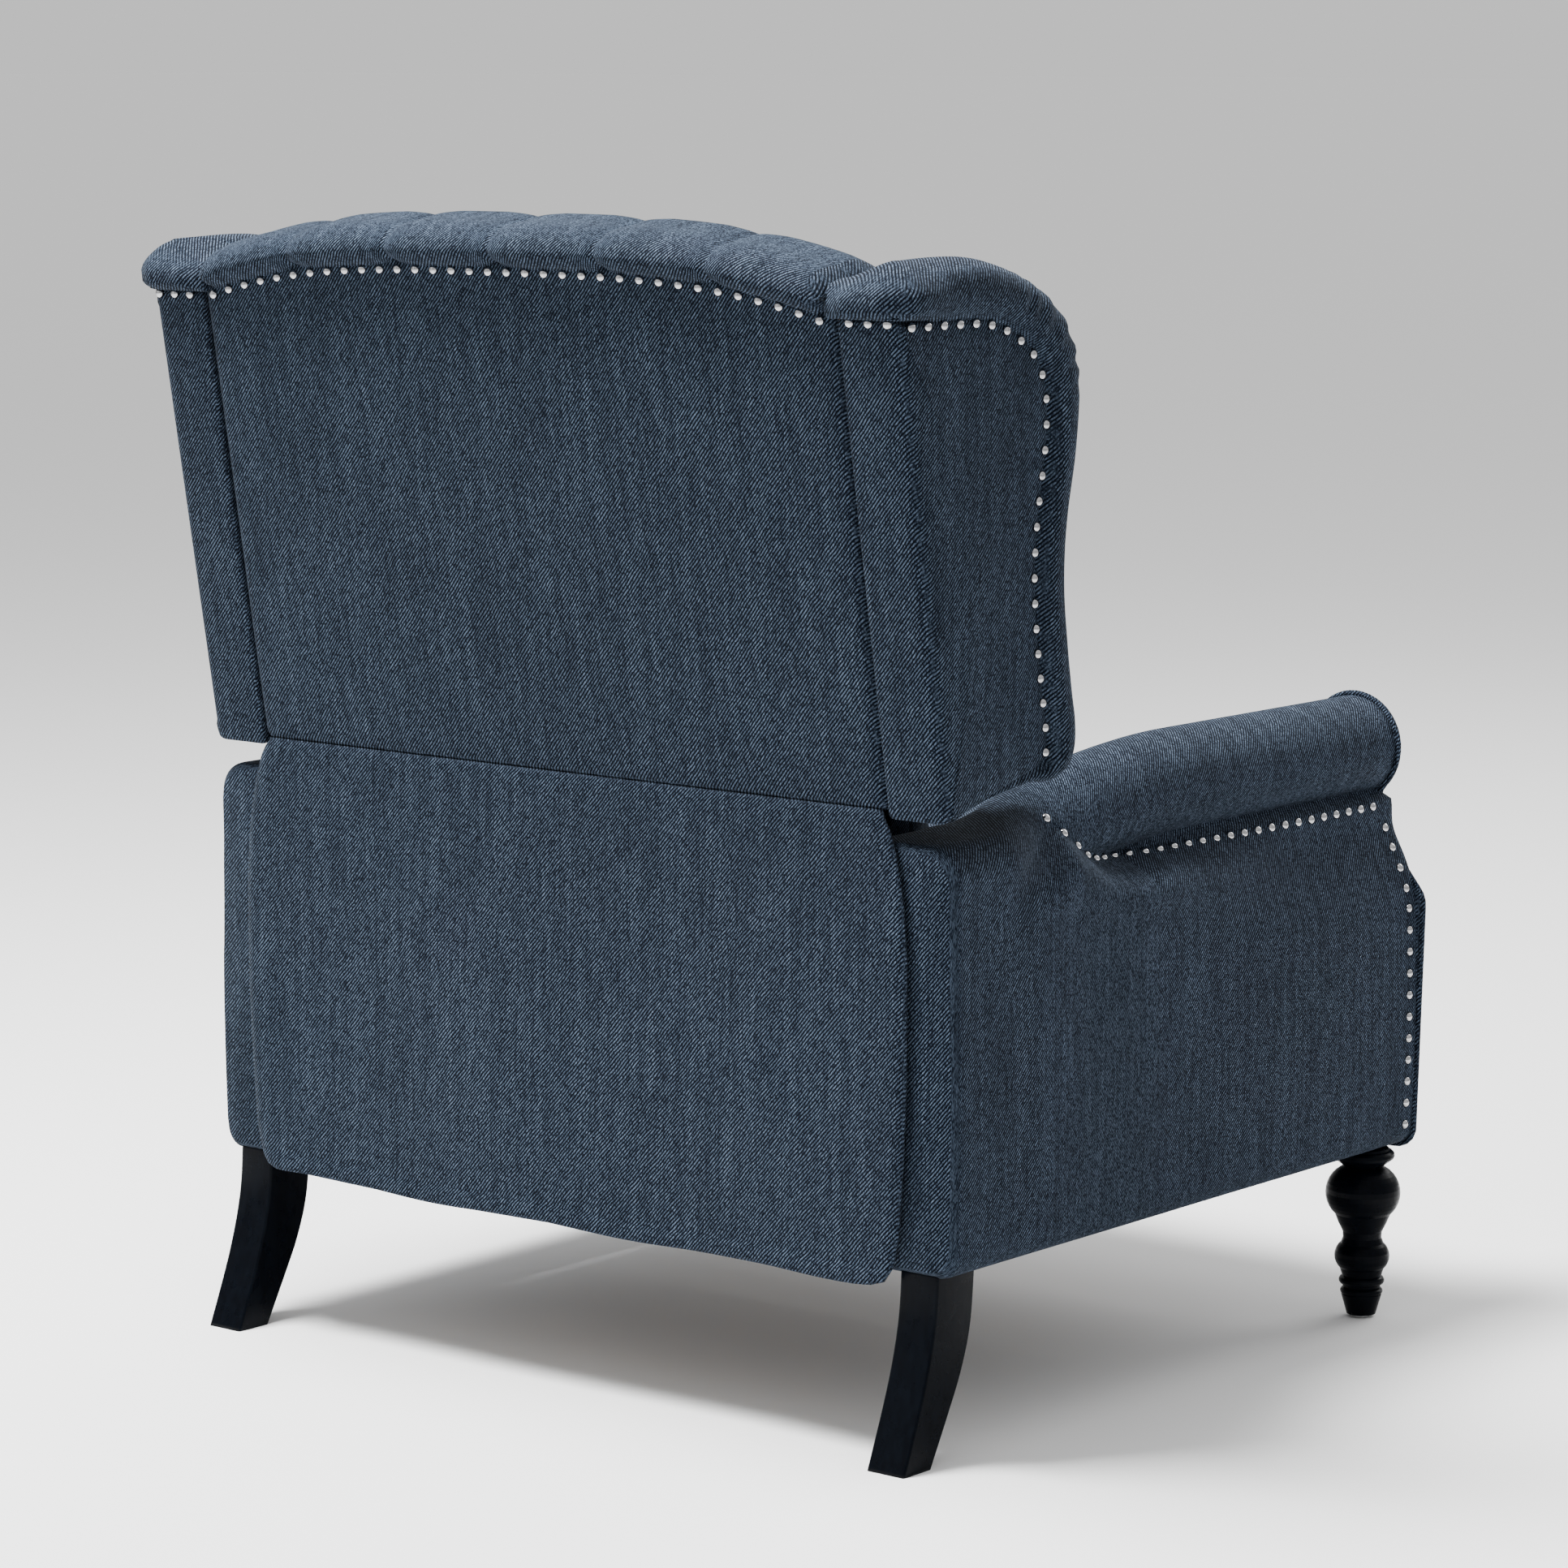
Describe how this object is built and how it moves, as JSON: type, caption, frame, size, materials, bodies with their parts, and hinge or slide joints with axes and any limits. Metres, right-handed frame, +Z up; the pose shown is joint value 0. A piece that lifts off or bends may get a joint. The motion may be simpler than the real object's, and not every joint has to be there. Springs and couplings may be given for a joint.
{
  "type": "recliner armchair",
  "caption": "Push-back recliner armchair with wings, rolled arms, nailhead trim, turned front legs and a fold-out footrest.",
  "frame": {"origin": "middle of the chair's footprint box, on the floor", "axes": "+Z up, the chair faces -Y, X = 0 is the mirror plane"},
  "size_m": [0.9496, 0.8288, 1.067],
  "materials": {
    "upholstery": "twill weave",
    "cushion": "twill weave over foam",
    "flap_fabric": "twill weave",
    "frame_wood": "bare plywood",
    "leg_wood": "dark satin lacquer",
    "nails": "polished nickel",
    "mechanism_steel": "black powder coat",
    "zinc": "zinc plated",
    "spring_steel": "oiled spring wire"
  },
  "bodies": {
    "base": {"arm_frames": "frame_wood", "arm_side_left": "upholstery", "arm_side_right": "upholstery", "arm_pad_left": "upholstery", "arm_pad_right": "upholstery", "arm_roll_left": "upholstery", "arm_roll_right": "upholstery", "arm_front_left": "upholstery", "arm_front_right": "upholstery", "arm_piping": "upholstery", "arm_nails": "nails", "front_leg_left": "leg_wood", "front_leg_right": "leg_wood", "front_glides": "zinc", "rear_leg_left": "leg_wood", "rear_leg_right": "leg_wood", "front_rail": "frame_wood", "rear_rail": "frame_wood", "mechanism_rail_left": "mechanism_steel", "mechanism_rail_right": "mechanism_steel", "base_rivets": "zinc", "rear_flap_lower": "flap_fabric"},
    "rear_links": {"rear_swing_links": "mechanism_steel", "torque_tube": "mechanism_steel"},
    "front_links": {"front_swing_links": "mechanism_steel"},
    "seat": {"seat_plate_left": "mechanism_steel", "seat_plate_right": "mechanism_steel", "seat_front_board": "frame_wood", "seat_rear_board": "frame_wood", "seat_side_boards": "frame_wood", "seat_cross_tube": "mechanism_steel", "seat_springs": "spring_steel", "seat_rivets": "zinc", "seat_cushion": "cushion"},
    "backrest": {"back_bracket_left": "mechanism_steel", "back_bracket_right": "mechanism_steel", "back_posts": "frame_wood", "back_top_rail": "frame_wood", "back_wing_rail": "frame_wood", "back_bottom_rail": "frame_wood", "back_rivets": "zinc", "outside_back": "upholstery", "inside_back_pad": "cushion", "top_roll": "upholstery", "wing_board_left": "frame_wood", "wing_board_right": "frame_wood", "wing_cover_left": "upholstery", "wing_cover_right": "upholstery", "wing_pad_left": "upholstery", "wing_pad_right": "upholstery", "back_nails": "nails", "wing_nails": "nails", "rear_flap_upper": "flap_fabric"},
    "drive": {"drive_links": "mechanism_steel"},
    "thigh": {"thigh_links": "mechanism_steel"},
    "guide": {"guide_links": "mechanism_steel"},
    "shin": {"shin_links": "mechanism_steel"},
    "footrest": {"footrest_brackets": "mechanism_steel", "footrest_board": "frame_wood", "footrest_pad": "cushion"}
  },
  "joints": [
    {"name": "recline", "type": "hinge", "parent": "base", "child": "backrest", "pos_m": [0, 0.25, 0.42], "axis": [-1, 0, 0], "range_deg": [0, 30]},
    {"name": "rear_link_swing", "type": "hinge", "parent": "base", "child": "rear_links", "pos_m": [0, 0.11, 0.215], "axis": [1, 0, 0], "range_deg": [0, 32.01]},
    {"name": "front_link_swing", "type": "hinge", "parent": "base", "child": "front_links", "pos_m": [0, -0.12, 0.215], "axis": [1, 0, 0], "range_deg": [0, 32.01]},
    {"name": "seat_carry", "type": "hinge", "parent": "rear_links", "child": "seat", "pos_m": [0, 0.14762, 0.31837], "axis": [1, 0, 0], "range_deg": [-32.01, 0]},
    {"name": "drive_link_turn", "type": "hinge", "parent": "backrest", "child": "drive", "pos_m": [0, 0.26, 0.3017], "axis": [1, 0, 0], "range_deg": [0, 33.46]},
    {"name": "thigh_swing", "type": "hinge", "parent": "seat", "child": "thigh", "pos_m": [0, -0.19, 0.325], "axis": [1, 0, 0], "range_deg": [-59.87, 0]},
    {"name": "guide_swing", "type": "hinge", "parent": "seat", "child": "guide", "pos_m": [0, -0.2658, 0.33], "axis": [1, 0, 0], "range_deg": [-76.49, 0]},
    {"name": "shin_swing", "type": "hinge", "parent": "thigh", "child": "shin", "pos_m": [0, -0.2344, 0.1609], "axis": [1, 0, 0], "range_deg": [0, 89.28]},
    {"name": "footrest_turn", "type": "hinge", "parent": "shin", "child": "footrest", "pos_m": [0, -0.345, 0.29], "axis": [1, 0, 0], "range_deg": [-119.42, 0]}
  ],
  "couplings": [
    {"joint": "rear_link_swing", "follows": "recline", "ratio": 1.0667},
    {"joint": "front_link_swing", "follows": "recline", "ratio": 1.0667},
    {"joint": "seat_carry", "follows": "recline", "ratio": -1.0667},
    {"joint": "drive_link_turn", "follows": "recline", "ratio": 1.1149},
    {"joint": "thigh_swing", "follows": "recline", "ratio": -1.9954},
    {"joint": "guide_swing", "follows": "recline", "ratio": -2.5494},
    {"joint": "shin_swing", "follows": "recline", "ratio": 2.9758},
    {"joint": "footrest_turn", "follows": "recline", "ratio": -3.9804}
  ]
}
